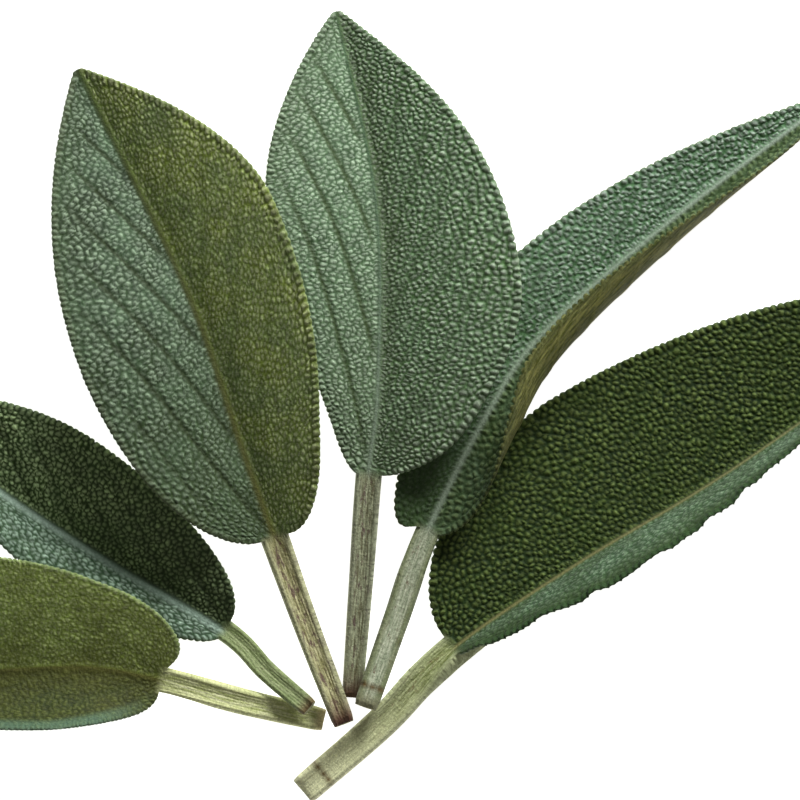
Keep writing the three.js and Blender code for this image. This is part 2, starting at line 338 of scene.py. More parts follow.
def arc_step(start_angle, end_angle, full_length, distance):
    """Going out by a distance along an arc that turns evenly from one angle to another."""
    rate = (end_angle - start_angle) / full_length + LEAST_TURN
    angle = start_angle + rate * distance
    out = (np.sin(angle) - np.sin(start_angle)) / rate
    rise = (np.cos(start_angle) - np.cos(angle)) / rate
    return out, rise, angle


def lean_at(leaf, line, side, edge, station):
    """How far a half leans up at a station, from the base of the blade to its tip."""
    share = np.clip(station / line["length"], 0, 1)
    on_stalk = ease(-station / STALK_TWIST_LENGTH)
    base, tip = leaf[side][edge]
    return np.radians(mix(mix(base, tip, share), GROOVE_ANGLE, on_stalk))


def surface_at(leaf, line, station, across):
    """Points of the upper surface and the directions that face out of it there."""
    origin, left, up = axes_at(line, station)
    on_left = across >= 0
    side = np.where(on_left, 1.0, -1.0)
    folds, rims = (
        [lean_at(leaf, line, name, edge, station) for name in SIDES] for edge in ("fold", "rim")
    )
    fold, rim = np.where(on_left, *folds), np.where(on_left, *rims)
    width = np.where(on_left, leaf["left"]["width"], leaf["right"]["width"])
    tilt = side * (folds[0] - folds[1]) / 2
    distance = np.abs(across)
    crease = arc_step(tilt, fold, CREASE_WIDTH, np.minimum(distance, CREASE_WIDTH))
    blade = arc_step(fold, rim, width - CREASE_WIDTH, np.maximum(distance - CREASE_WIDTH, 0))
    angle = np.where(distance < CREASE_WIDTH, crease[2], blade[2])
    sideways = (side * (crease[0] + blade[0]))[..., None]
    point = origin + left * sideways + up * (crease[1] + blade[1])[..., None]
    outward = up * np.cos(angle)[..., None] - left * (side * np.sin(angle))[..., None]
    return point, outward


# %% The rib under the blade and the outline of a half
def rib_left(line, station):
    """What is left of the stalk's size in the rib at a station."""
    share = np.clip(station / line["length"], 0, 1)
    return mix(RIB_AT_TIP, 1, (1 - share) ** RIB_TAPER)


def rib_half_width(leaf, line, station):
    on_stalk = np.clip(-station / line["stalk"], 0, 1)
    stalk = mix(leaf["stalk"]["half_width"], leaf["stalk"]["end_half_width"], on_stalk)
    return stalk * rib_left(line, station)


def rib_line(leaf, line, station):
    """Half the width of the pale line that the midrib draws on the upper side."""
    base, tip = leaf["rib_line"]
    return mix(base, tip, np.clip(station / line["length"], 0, 1))


def thickness_at(leaf, line, station, across):
    depth = (leaf["stalk"]["depth"] - BLADE_THICKNESS) * rib_left(line, station)
    offset = across / rib_half_width(leaf, line, station)
    return BLADE_THICKNESS + depth * np.sqrt(np.clip(1 - offset**2, 0, None))


OUTLINE_SAMPLES = 200


def outline_of(leaf, side, length):
    """The flat edge of one half from the stalk round to the tip, and the distance along it."""
    half = leaf[side]
    share = np.linspace(0, 1, OUTLINE_SAMPLES + 1)
    turn = share * np.pi / 2
    back = half["lobe"] * np.sin(np.pi * np.minimum(1, share / LOBE_REACH))
    fullness = 2 / half["base"]
    base_along = half["widest"] * length * (1 - np.abs(np.cos(turn)) ** fullness) - back
    base_out = mix(leaf["stalk"]["half_width"], half["width"], np.sin(turn) ** fullness)
    tip_along = length * mix(half["widest"], 1, share[1:])
    tip_out = mix(half["width"], TIP_HALF_WIDTH, share[1:] ** half["tip"])
    flat = np.stack([np.append(base_along, tip_along), np.append(base_out, tip_out)], -1)
    return flat, lengths_along(flat)


for leaf in LEAVES:
    line = trace_line(leaf)
    edge_length = outline_of(leaf, "left", line["length"])[1][-1]
    print(
        leaf["node"], "blade", round(line["length"], 1), "mm, stalk", round(line["stalk"], 1),
        "mm, left edge", round(edge_length, 1), "mm",
    )

# %% [markdown]
# ## Veins and pebbles
#
# Side veins leave the midrib at a slant, curve a little towards the tip, and lie sunk in the
# upper side. Between them a fine net of smaller veins ties the skin down at its lines, and
# the green tissue in each mesh of the net bulges into a pebble. That is just what a Voronoi
# pattern draws, so each half gets a scatter of pebble middles: in rows that run with the
# side veins, and in one neat row along the edge, where each pebble makes one scallop. The
# height of a point then depends on its distance from the nearest border between two
# pebbles. A Voronoi texture in a material would only shade the skin, while this one moves
# the mesh, so the pebbles are there from every side and in the mesh's own shape.

# %% Where the side veins run
EDGE_BATCH = 4000  # places compared with the edge at once


def vein_phase(half, station, out):
    """Counts side veins along the blade: a whole number on each vein."""
    slope = 1 / math.tan(math.radians(half["vein_lean"]))
    return (station - out * slope - half["vein_bend"] * out**2) / half["vein_gap"]


def edge_distance(flat_edge, places):
    """Distance of flat places from the edge of their half, negative outside it."""
    nearest = np.empty(len(places), int)
    for start in range(0, len(places), EDGE_BATCH):
        part = places[start:start + EDGE_BATCH, None, :] - flat_edge[None]
        nearest[start:start + EDGE_BATCH] = (part**2).sum(-1).argmin(1)
    tangent = unit(np.gradient(flat_edge, axis=0))
    inward = np.stack([tangent[:, 1], -tangent[:, 0]], -1)
    return ((places - flat_edge[nearest]) * inward[nearest]).sum(-1)


# %% Sizes of the pebbles, and the row of them along the edge
GROWTH = 0.8  # below 1, pebbles do most of their growing near the midrib
NEAREST = 0.1  # no scallop has its pebble nearer to the midrib than this
AHEAD = 0.1  # how far along the edge the next place lies that gives its heading


def pebble_size(half, out):
    """Pebbles are small beside the midrib and grow towards the edge."""
    beside_rib, at_edge = half["pebble"]
    return mix(beside_rib, at_edge, np.clip(out / half["width"], 0, 1) ** GROWTH)


def even_out(half, places):
    """Turns and squeezes flat places so that long pebbles come out round."""
    lean = math.radians(half["pebble_lean"])
    lengthwise = places[:, 0] * math.cos(lean) + places[:, 1] * math.sin(lean)
    crosswise = places[:, 1] * math.cos(lean) - places[:, 0] * math.sin(lean)
    return np.stack([lengthwise / half["stretch"], crosswise], -1)


def edge_row(half, flat_edge, along):
    """One pebble middle behind each scallop of the edge."""
    count = round(along[-1] / half["tooth"])
    teeth = (np.arange(count) + 0.5) * along[-1] / count
    at = read_at(teeth, along, flat_edge)
    heading = unit(read_at(teeth + AHEAD, along, flat_edge) - at)
    inward = np.stack([heading[:, 1], -heading[:, 0]], -1)
    row = at + inward * half["tooth_length"] / 2
    return row[row[:, 1] > NEAREST]


# %% Let the borders between pebbles stray
WANDER = 0.08  # how far the borders of the pebbles stray from straight lines
WANDER_LENGTHS = (0.7, 2.5)
WANDER_WAVES = 24


def wander(places, rng):
    """Moves flat places about a little, so that no border between pebbles stays straight."""
    moved = np.zeros(places.shape)
    for _ in range(WANDER_WAVES):
        heading, first, second = rng.uniform(0, 2 * np.pi, 3)
        length = rng.uniform(*WANDER_LENGTHS)
        along = (places @ [math.cos(heading), math.sin(heading)]) * 2 * np.pi / length
        moved += np.stack([np.sin(along + first), np.sin(along + second)], -1)
    return places + moved * WANDER / math.sqrt(WANDER_WAVES / 2)


# %% Find each point's pebble and how far it is inside it
SEARCH = 1.3  # side of the cells in which pebbles are looked for, in pebble sizes
PEBBLE_BATCH = 20000  # places looked up at once
FAR_AWAY = 1e4
FARTHEST_BORDER = 10
AROUND = [(i, j) for i in (-1, 0, 1) for j in (-1, 0, 1)]  # a cell and its neighbours


def cell_table(middles, low, high, reach):
    """Which pebble middles lie in each cell, as one row per cell."""
    cell = ((middles - low) / reach).astype(int)
    shape = ((high - low) / reach).astype(int) + 3
    flat_cell = cell[:, 0] * shape[1] + cell[:, 1]
    order = np.argsort(flat_cell, kind="stable")
    ordered = flat_cell[order]
    place_in_cell = np.arange(len(ordered)) - np.searchsorted(ordered, ordered)
    table = np.full((shape[0] * shape[1], place_in_cell.max() + 1), len(middles))
    table[ordered, place_in_cell] = order
    return table, shape[1]


def pebble_at(half, places, middles):
    """How far each place is in from its pebble's border, from 0 to 1, and which pebble it is."""
    places, middles = even_out(half, places), even_out(half, middles)
    reach = SEARCH * max(half["pebble"])
    low = np.minimum(middles.min(0), places.min(0)) - 2 * reach
    table, stride = cell_table(middles, low, np.maximum(middles.max(0), places.max(0)), reach)
    known = np.vstack([middles, [FAR_AWAY, FAR_AWAY]])
    inside = np.empty(len(places))
    pebble = np.empty(len(places), int)
    for start in range(0, len(places), PEBBLE_BATCH):
        here = places[start:start + PEBBLE_BATCH]
        cells = ((here - low) / reach).astype(int)[:, None, :] + np.array(AROUND)[None]
        near = table[cells[..., 0] * stride + cells[..., 1]].reshape(len(here), -1)
        gaps = np.linalg.norm(known[near] - here[:, None, :], axis=-1)
        best = gaps.argmin(1)
        rows = np.arange(len(here))
        own = near[rows, best]
        spread = np.linalg.norm(known[near] - known[own][:, None, :], axis=-1)
        spread[spread == 0] = np.inf
        border = (gaps**2 - gaps[rows, best][:, None] ** 2) / (2 * spread)
        border[near == own[:, None]] = np.inf
        border[near == len(middles)] = np.inf
        from_border = np.minimum(border.min(1), FARTHEST_BORDER)
        inside[start:start + PEBBLE_BATCH] = from_border / (from_border + gaps[rows, best])
        pebble[start:start + PEBBLE_BATCH] = np.minimum(own, len(middles) - 1)
    return inside, pebble


# %% Scatter the middles of the pebbles on one half
CROWDING = 0.83  # pebble middles keep this share of a pebble's size from one another
SETTLING_ROUNDS = 3
SAMPLES_PER_PEBBLE = 16
TRIES_PER_PEBBLE = 9
BEHIND_BASE = 0.5  # how far behind the blade's base places are still tried
OFF_MIDRIB = 0.15  # no middle is tried nearer to the midrib than this
INSIDE_ROW = 0.9  # middles keep this share of a scallop's reach from the edge


def settle(half, scattered, row, samples):
    """Moves each scattered middle to the middle of its own pebble, a few times over."""
    for _ in range(SETTLING_ROUNDS):
        middles = np.vstack([scattered, row])
        own = pebble_at(half, samples, middles)[1]
        count = np.bincount(own, minlength=len(middles))[:len(scattered), None]
        sums = [np.bincount(own, samples[:, axis], len(middles)) for axis in (0, 1)]
        sums = np.stack(sums, -1)[:len(scattered)]
        scattered = np.where(count > 0, sums / np.maximum(count, 1), scattered)
    return np.vstack([scattered, row])


def keep_apart(places, apart):
    """Which of the places stay when each keeps its own distance from those before it."""
    cell = apart.max()
    taken = {}
    kept = []
    for index, ((x, y), room) in enumerate(zip(places.tolist(), apart.tolist())):
        column, row = int(x // cell), int(y // cell)
        around = [spot for i, j in AROUND for spot in taken.get((column + i, row + j), ())]
        if all((x - a) ** 2 + (y - b) ** 2 > room * room for a, b in around):
            taken.setdefault((column, row), []).append((x, y))
            kept.append(index)
    return kept


def scatter_pebbles(leaf, side, length, rng):
    """Middles of the pebbles of one half: random, but never closer than a pebble's size."""
    half = leaf[side]
    flat_edge, along = outline_of(leaf, side, length)
    low, high = flat_edge.min(0) - BEHIND_BASE, flat_edge.max(0)
    low[1] = OFF_MIDRIB
    pebble_area = min(half["pebble"]) ** 2 * half["stretch"]
    places = rng.uniform(low, high, (int(TRIES_PER_PEBBLE * np.prod(high - low) / pebble_area), 2))
    places = places[edge_distance(flat_edge, places) > half["tooth_length"] * INSIDE_ROW]
    kept = keep_apart(even_out(half, places), CROWDING * pebble_size(half, places[:, 1]))
    row = edge_row(half, flat_edge, along)
    samples = rng.uniform(low, high, (SAMPLES_PER_PEBBLE * len(kept), 2))
    samples = samples[edge_distance(flat_edge, samples) > 0]
    return settle(half, places[kept], row, samples)


# %% [markdown]
# ## From a flat grid to a leaf
#
# A leaf is a loft: a ring of points goes across the top from the left edge to the right,
# round the thin edge, and back underneath, and such rings follow one another from the cut
# end of the stalk to the tip. `create_grid` gives exactly that net, still unrolled, with one
# column too many, so that its two long sides meet as a seam that `remove_doubles` closes.
# Its two open ends are filled. A Solidify modifier could thicken a single sheet instead,
# but the rib underneath is thicker than the blade, and the ring can hold both.

# %% Places of the grid's points on the flat leaf
EDGE_TURNS = np.radians([45, 90, 135])
OFF_EDGE = -1.0  # stands for the distance along the edge on the stalk, which has none


def ring_layout(columns):
    """For each point of a ring: its share of the way out, its turn round the edge and its side."""
    left, right, under = columns
    turns = len(EDGE_TURNS)
    share = np.concatenate([
        np.linspace(1, 0, left + 1), np.linspace(0, 1, right + 1)[1:], np.ones(turns),
        np.linspace(1, 0, under + 1), np.linspace(0, 1, under + 1)[1:], np.ones(turns + 1),
    ])
    top, below = np.zeros(left + 1 + right), np.full(2 * under + 1, np.pi)
    turn = np.concatenate([top, EDGE_TURNS, below, EDGE_TURNS[::-1], [0]])
    side = np.repeat([1.0, -1.0, 1.0], [left + 1, right + turns + under + 1, under + turns + 1])
    return share, turn, side


def stalk_stations(leaf, line):
    stalk_rows = leaf["rows"][0]
    return -line["stalk"] * (1 - np.arange(stalk_rows) / stalk_rows)


def edges_along(leaf, side, line):
    """Flat edge places of one half for every ring, how far along the edge and its outward."""
    stations = stalk_stations(leaf, line)
    flat_edge, along = outline_of(leaf, side, line["length"])
    steps = np.linspace(0, along[-1], leaf["rows"][1] + 1)
    blade = read_at(steps, along, flat_edge)
    tangent = unit(np.gradient(blade, axis=0))
    outward = np.stack([-tangent[:, 1], tangent[:, 0]], -1)
    stalk = np.stack([stations, rib_half_width(leaf, line, stations)], -1)
    sideways = np.tile([0.0, 1.0], (len(stations), 1))
    return (
        np.vstack([stalk, blade]), np.append(np.full(len(stations), OFF_EDGE), steps),
        np.vstack([sideways, outward]), along[-1],
    )


# %% Heights of the skin
DEEPEST = 0.08 - BLADE_THICKNESS  # even a furrow leaves some blade
SUNK = 0.65  # this share of a pebble's height lies below the plain surface
UNEVEN, CREST_GAIN = 0.5, 1.5  # how much pebbles differ in height, how broad their crests are
WIDEST_SMOOTH, SMOOTH_SHARE = 0.3, 0.6  # how far out from the midrib the skin is smooth
PEBBLE_RISE, BASE_RISE, STALK_RISE = 0.35, 2.5, 0.8  # pebbles rise over these lengths beside
BASE_BEFORE, STALK_CLEAR = 0.8, 1.2  # the midrib, at the blade's base and beside the stalk
ROW_REACH = 1.6  # the outer pebbles lie within so many scallops' reaches of the edge
VEIN_START, VEIN_END, VEIN_RISE = 3, 4, 1  # side veins fade over these lengths at the base,
VEIN_OUT, VEIN_REACH = 0.3, 0.35  # at the tip and this far off the midrib, and at the edge
CALM, SWELL = 0.25, 0.35  # pebbles are lower on a side vein, and the blade swells between two


def skin_of_half(leaf, side, line, station, out, to_edge, rng):
    """Height of the skin in mm, with how much each point is crest and vein, and its tint."""
    half = leaf[side]
    middles = scatter_pebbles(leaf, side, line["length"], rng)
    places = wander(np.stack([station.ravel(), out.ravel()], -1), rng)
    inside, pebble = pebble_at(half, places, middles)
    inside = inside.reshape(station.shape)
    dome = 0.5 * ease(inside) + 0.5 * (1 - (1 - inside) ** 2)
    tint = rng.uniform(0, 1, len(middles))[pebble].reshape(station.shape)
    phase = vein_phase(half, station, out)
    slant = math.sin(math.radians(half["vein_lean"]))
    from_vein = np.abs(phase - np.round(phase)) * half["vein_gap"] * slant
    on_blade = ease(station / VEIN_START) * ease((line["length"] - station) / VEIN_END)
    reach = ease(to_edge / (VEIN_REACH * half["width"])) * ease((out - VEIN_OUT) / VEIN_RISE)
    vein = np.exp(-((from_vein / half["vein_width"]) ** 2)) * reach * on_blade
    swell = -np.cos(2 * np.pi * phase) * reach * on_blade
    smooth_width = SMOOTH_SHARE * np.minimum(rib_line(leaf, line, station), WIDEST_SMOOTH)
    off_rib = ease((out - smooth_width) / PEBBLE_RISE)
    off_stalk = ease((out - STALK_CLEAR * rib_half_width(leaf, line, station)) / STALK_RISE)
    off_base = ease((station + BASE_BEFORE) / BASE_RISE)
    amount = off_rib * np.maximum(off_base, off_stalk) * (1 - CALM * vein)
    size = pebble_size(half, out) / max(half["pebble"])
    bold = 1 + half["bold"] * ease(ROW_REACH - to_edge / half["tooth_length"])
    height = half["relief"] * bold * size * amount * (dome - SUNK + UNEVEN * (tint - 0.5) * dome)
    height += half["vein_depth"] * (SWELL * swell - vein)
    return np.maximum(height, DEEPEST), ease(CREST_GAIN * inside) * amount, vein, tint


# %% Lay out one half of a blade
ROUNDING = BLADE_THICKNESS / 2
NARROWEST = 0.05
OUTER_REACH = 3.5  # how far in from the edge the blade is darker
BESIDE_REACH = 3.0  # how far out from the midrib the painted shade of the crease reaches
SHADE_REACH = 0.6  # share of the blade's length over which the painted shade on its base fades out
HEM_GROWTH = 5.0  # the tinted hem fades in over so many times its own width
HEM_GAIN = 1.6  # above 1, the hem has its full tint for a while before it fades
EDGE_GROWTH = 3  # scallops and crinkles grow to their full size over this distance
TOOTH_SIZES = (0.7, 1.3)  # the least and the greatest scallop, as shares of the usual one
TOOTH_MIDDLE = 0.6  # share of a scallop's depth that is cut into the outline
TOOTH_FADE = 1.5  # above 1, a scallop's bulge dies out fast inwards
CRINKLE_LENGTH = 1.9  # from one crest of a crinkled edge to the next hollow
CRINKLE_REACH = 3.0  # how far in from the edge it is crinkled
WORN = 0.14  # share of the stalk's thickness that its cut end has lost all round
WORN_LENGTH = 0.45


def worn_at(line, station):
    return WORN * np.exp(-(((station + line["stalk"]) / WORN_LENGTH) ** 2))


def edge_waves(half, edge_along, edge_full, rng):
    """For each ring: how far its scallop bulges, and how far the crinkled edge waves."""
    phase = edge_along / (edge_full / round(edge_full / half["tooth"]))
    round_tooth = np.sqrt(np.clip(1 - (2 * (phase - np.floor(phase)) - 1) ** 2, 0, 1))
    sizes = rng.uniform(*TOOTH_SIZES, int(phase.max()) + 2)[np.floor(phase).astype(int)]
    knots = np.arange(int(edge_full / CRINKLE_LENGTH) + 2) * CRINKLE_LENGTH
    waves = np.interp(edge_along, knots, rng.uniform(-1, 1, len(knots)))
    return round_tooth - TOOTH_MIDDLE, sizes, waves


def lay_half(leaf, name, sign, line, middle, share, turn, rng):
    """Where the points of one half lie on the flat leaf, and the facts of its skin there."""
    half = leaf[name]
    edge, edge_along, outward, edge_full = edges_along(leaf, name, line)
    out = share * np.maximum(edge[:, 1:] - ROUNDING, NARROWEST) + ROUNDING * np.sin(turn)
    along = mix(middle, edge[:, :1], out / edge[:, 1:])
    span = np.hypot(edge[:, :1] - middle, edge[:, 1:])
    to_edge = span * (1 - out / edge[:, 1:])
    skin, crest, vein, tint = skin_of_half(leaf, name, line, along, out, to_edge, rng)
    out = out * (1 - worn_at(line, along))
    bulge, sizes, waves = edge_waves(half, edge_along, edge_full, rng)
    grown = ease(edge_along / EDGE_GROWTH)
    push = half["tooth_depth"] * bulge * sizes * grown
    near = np.clip(1 - to_edge / half["tooth_length"], 0, 1) ** TOOTH_FADE
    waved = ease(1 - to_edge / CRINKLE_REACH) * waves[:, None] + near * (bulge * sizes)[:, None]
    along = along + near * (push * outward[:, 0])[:, None]
    out = out + near * (push * outward[:, 1])[:, None]
    hem = max(half["hem"], half["tooth_length"])
    rim = ease(HEM_GAIN - HEM_GAIN * to_edge / hem)
    rim = rim * ease(edge_along / (HEM_GROWTH * hem))[:, None]
    # painted shade in the crease beside the midrib, a darker edge, and painted shade on the base,
    # mostly the shadow of a leaf lying over it
    darker = [
        half["beside"] * np.exp(-((out / BESIDE_REACH) ** 2)),
        half["outer"] * np.exp(-((to_edge / OUTER_REACH) ** 2)),
        half["shade"] * ease(1 - along / (SHADE_REACH * line["length"])),
    ]
    return {
        "station": along, "across": sign * out, "height": skin,
        "crinkle": half["crinkle"] * waved * grown[:, None],
        "crest": crest, "vein": half["vein_tint"] * vein, "tint": tint,
        "rim": half["edge_tint"] * rim, "beside": np.max(darker, axis=0),
    }


# %% Build one leaf
PLACES = ("station", "across", "height", "crinkle")
# beside carries the painted shade beside the midrib and on the base, and the darker edge
SKIN_FACTS = ("crest", "vein", "tint", "rim", "beside")
RAISED = 0.18  # how far a side vein stands out underneath
BROAD_RIDGES, FINE_RIDGES = (0.014, 8), (0.012, 17)  # height and pitch, along the stalk
TWIST, RIDGE_FADE = 0.25, 2  # the broad ridges wind a little, and all fade out at the blade
STALK_EDGE, STALK_SOFT = 1.3, 0.4  # the stalk ends at so many half widths, over this distance
BLADE_START, START_SOFT = 0.8, 1.6  # on top the blade takes over from it here, over this
UNDER_END, UNDER_SOFT = 0.5, 0.4  # and underneath at these shares of the blade's length
FLANK_GAIN, FLANK_FROM = 1.6, 0.6
RING_WIDTH, RING_WAVE, RING_WAVES = 0.3, 0.2, 3  # the scar is not quite straight


def stalk_facts(leaf, line, station, across, on_top):
    """How far each point is within the stalk's width, along it, on its flank and on its scar."""
    half_width = rib_half_width(leaf, line, station)
    within = ease((STALK_EDGE * half_width - np.abs(across)) / STALK_SOFT)
    above = ease((BLADE_START - station) / START_SOFT)
    under_left = (UNDER_END * line["length"] - station) / (UNDER_SOFT * line["length"])
    below = (1 - on_top) * ease(under_left)
    from_cut = station + line["stalk"] + RING_WAVE * np.sin(RING_WAVES * across)
    return within, {
        "stalk": np.clip(-station / line["stalk"], 0, 1),
        "on_stalk": np.maximum(above, below) * within,
        "flank": ease(FLANK_GAIN * np.abs(across) / half_width - FLANK_FROM),
        "ring": np.exp(-(((from_cut - leaf["ring"]) / RING_WIDTH) ** 2)),
    }


def build_leaf(leaf, piece_name):
    """One closed leaf mesh about the fan's own origin, with its skin's facts as attributes."""
    rng = np.random.default_rng(leaf["seed"])
    line = trace_line(leaf)
    share, turn, side = ring_layout(leaf["columns"])
    on_blade = line["length"] * np.linspace(0, 1, leaf["rows"][1] + 1)
    middle = np.append(stalk_stations(leaf, line), on_blade)[:, None]
    count = len(middle), len(share)
    laid = {name: np.zeros(count) for name in PLACES + SKIN_FACTS}
    for name, sign in SIDES.items():
        mine = side == sign
        half = lay_half(leaf, name, sign, line, middle, share[mine], turn[mine], rng)
        for key, values in half.items():
            laid[key][:, mine] = values
    station, across, height, crinkle = (laid.pop(name) for name in PLACES)
    on_top = (1 + np.cos(turn)) / 2 * np.ones(count)
    within_stalk, on_stalk = stalk_facts(leaf, line, station, across, on_top)
    points, outward = surface_at(leaf, line, station, across)
    thick = thickness_at(leaf, line, station, across)
    offset = height * on_top - (thick + RAISED * laid["vein"]) * (1 - on_top)
    ridges = BROAD_RIDGES[0] * np.sin(across * BROAD_RIDGES[1] + np.sin(station * TWIST))
    ridges = ridges + FINE_RIDGES[0] * np.sin(across * FINE_RIDGES[1])
    offset += ridges * ease(-station / RIDGE_FADE) * within_stalk * (2 * on_top - 1) + crinkle
    offset += worn_at(line, station) * thick * (1 - 2 * on_top)
    points = points + outward * offset[..., None]
    from_rib = (across - leaf["rib_aside"]) / rib_line(leaf, line, station)
    facts = dict(
        laid, under=1 - on_top, **on_stalk, pith=np.zeros(count),
        share=np.clip(station / line["length"], 0, 1), left=(side > 0) * np.ones(count),
        rib=np.exp(-(from_rib**2)),
    )
    flat = np.stack([station, across, np.zeros(count)], -1) * MM
    return wrap_grid(piece_name, points * MM, facts, flat)


# %% Close the net round the leaf
PITH_RIM = 0.3 * MM  # how wide a rim of bark is round the pith at the cut end
SEAM_GAP = 1e-7


def wrap_grid(piece_name, points, facts, flat):
    """A grid whose rows become the leaf's rings: seam merged, both ends closed."""
    rows, columns = points.shape[:2]
    sheet = bmesh.new()
    bmesh.ops.create_grid(sheet, x_segments=columns - 1, y_segments=rows - 1, size=1)
    mesh = bpy.data.meshes.new(piece_name)
    sheet.to_mesh(mesh)
    sheet.free()
    mesh.vertices.foreach_set("co", points.reshape(-1))
    for name, values in facts.items():
        layer = mesh.attributes.new(name, "FLOAT", "POINT")
        layer.data.foreach_set("value", values.reshape(-1))
    layer = mesh.attributes.new("flat", "FLOAT_VECTOR", "POINT")
    layer.data.foreach_set("vector", flat.reshape(-1))
    tube = bmesh.new()
    tube.from_mesh(mesh)
    seam = [vert for vert in tube.verts if vert.is_boundary]
    bmesh.ops.remove_doubles(tube, verts=seam, dist=SEAM_GAP)
    open_edges = [edge for edge in tube.edges if edge.is_boundary]
    caps = bmesh.ops.holes_fill(tube, edges=open_edges, sides=0)["faces"]
    for face in tube.faces:
        face.smooth = True
    cut = max(caps, key=lambda face: face.calc_area())
    bmesh.ops.inset_region(tube, faces=[cut], thickness=PITH_RIM, use_even_offset=True)
    pith = tube.verts.layers.float["pith"]
    for vert in cut.verts:
        vert[pith] = 1.0
    for face in caps:
        face.smooth = False
    tube.to_mesh(mesh)
    tube.free()
    return put_in_scene(piece_name, mesh)


# %% [markdown]
# ## Materials
#
# A sage leaf is green tissue under a felt of fine white hairs. The hairs stand thickest on
# the crests of the pebbles, so a crest looks pale grey-green and the furrows between, where
# there are few hairs, look deep green; the pale crests are also a painted highlight, and the
# deep green of the furrows also painted shade. The surface has no polish. So the material
# takes its colour from how much of a crest each point is, paints shade into the crease
# beside the midrib and onto the bases that lie under other leaves, and adds a soft sheen
# and a fine rough nap.

# %% One function for colours and one for nodes
def linear(colour):
    """An sRGB hex colour as the linear RGBA that a socket takes."""
    parts = [int(colour[i:i + 2], 16) / 255 for i in (1, 3, 5)]
    return [p / 12.92 if p <= 0.04045 else ((p + 0.055) / 1.055) ** 2.4 for p in parts] + [1.0]


def add(tree, kind, settings, inputs):
    """Adds a node, makes its settings, and fills or links its inputs."""
    made = tree.nodes.new(kind)
    for name, value in settings.items():
        setattr(made, name, value)
    for name, value in inputs.items():
        if isinstance(value, bpy.types.NodeSocket):
            tree.links.new(value, made.inputs[name])
        else:
            made.inputs[name].default_value = linear(value) if isinstance(value, str) else value
    return made


# %% The words for nodes in the tables below
# kind, settings, the inputs in the order in which a row fills them, the output that is used
PAINT = "ShaderNodeMix", {"data_type": "RGBA"}, (0, 6, 7), 2
BLEND = "ShaderNodeMix", {}, (0, 2, 3), 0
NOISE = "ShaderNodeTexNoise", {}, ("Vector", "Scale", "Detail", "Roughness"), "Fac"
NET = (
    "ShaderNodeTexVoronoi", {"feature": "DISTANCE_TO_EDGE"}, ("Vector", "Scale", "Randomness"),
    "Distance",
)
RANGE = "ShaderNodeMapRange", {}, range(5), 0
EASED = "ShaderNodeMapRange", {"interpolation_type": "SMOOTHSTEP"}, range(5), 0
BUMP = "ShaderNodeBump", {}, ("Height", "Strength", "Distance", "Normal"), 0
ALONG, ACROSS = (("ShaderNodeSeparateXYZ", {}, [0], axis) for axis in "XY")
BRIGHTEN, STRETCH = (
    ("ShaderNodeVectorMath", {"operation": operation}, inputs, 0)
    for operation, inputs in (("SCALE", (0, "Scale")), ("MULTIPLY", (0, 1)))
)
POWER, TIMES, LESS, LARGER, SIZE, TIMES_PLUS, FOLD = (
    ("ShaderNodeMath", {"operation": operation}, range(3), 0) for operation in (
        "POWER", "MULTIPLY", "SUBTRACT", "MAXIMUM", "ABSOLUTE", "MULTIPLY_ADD", "PINGPONG",
    )
)
PER_MM = 1000  # a pattern's scale counts its repeats in a metre

# %% The upper side: green tissue, whitest on the crests, where down stands and a highlight is painted
PATCH_SIZE, FIBRE_SIZE = 6.25, 0.5


def upper_side(look):
    (base, base_show), (vein, vein_show), rib = look["base"], look["vein"], look["rib"]
    return [
        # the share of crest colour: the down's own paleness, partly a painted highlight on the
        # crests and painted shade in the furrows
        ("down", POWER, "crest", 1.3),
        ("left_half", PAINT, "down", *look["left"]),
        ("right_half", PAINT, "down", *look["right"]),
        ("blade", PAINT, "left", "right_half", "left_half"),
        # broad patches of another green, and pebbles of slightly different brightness
        ("patches", NOISE, "flat", PER_MM / PATCH_SIZE, 2),
        ("patched", RANGE, "patches", 0.4, 0.65, 0, 0.35),
        ("blade", PAINT, "patched", "blade", look["patch"]),
        ("gain", RANGE, "tint", 0, 1, 0.75, 1.25),
        ("blade", BRIGHTEN, "blade", "gain"),
        # painted shade beside the midrib and on bases under other leaves, a tone towards the base
        # that is partly the leaf's own and partly painted shade, a darker edge, and dark side
        # veins
        ("near_base", EASED, "share", 0, 0.35, base_show, 0),
        ("bare", LARGER, "near_base", "beside"),
        ("blade", PAINT, "bare", "blade", base),
        ("veined", TIMES, "vein", vein_show),
        ("blade", PAINT, "veined", "blade", vein),
        # single hairs, which lie along the leaf
        ("fibres_at", STRETCH, "flat", (0.22, 1, 1)),
        ("fibres", NOISE, "fibres_at", PER_MM / FIBRE_SIZE, 3, 0.7),
        ("gain", RANGE, "fibres", 0.3, 0.7, 1 - look["fibre"], 1 + look["fibre"]),
        ("blade", BRIGHTEN, "blade", "gain"),
        # the line of the midrib
        ("rib_seen", RANGE, "share", 0, 1, *rib[2:]),
        ("ribbed", TIMES, "rib", "rib_seen"),
        ("rib_colour", PAINT, "share", *rib[:2]),
        ("blade", PAINT, "ribbed", "blade", "rib_colour"),
    ]


# %% The underside: a net of raised veins, with the side veins standing out most
STRAND_SIZE, MESH_SIZE = 0.32, 0.9
RAISED_VEIN = 0.35  # half the width in mm of a side vein where it stands out underneath


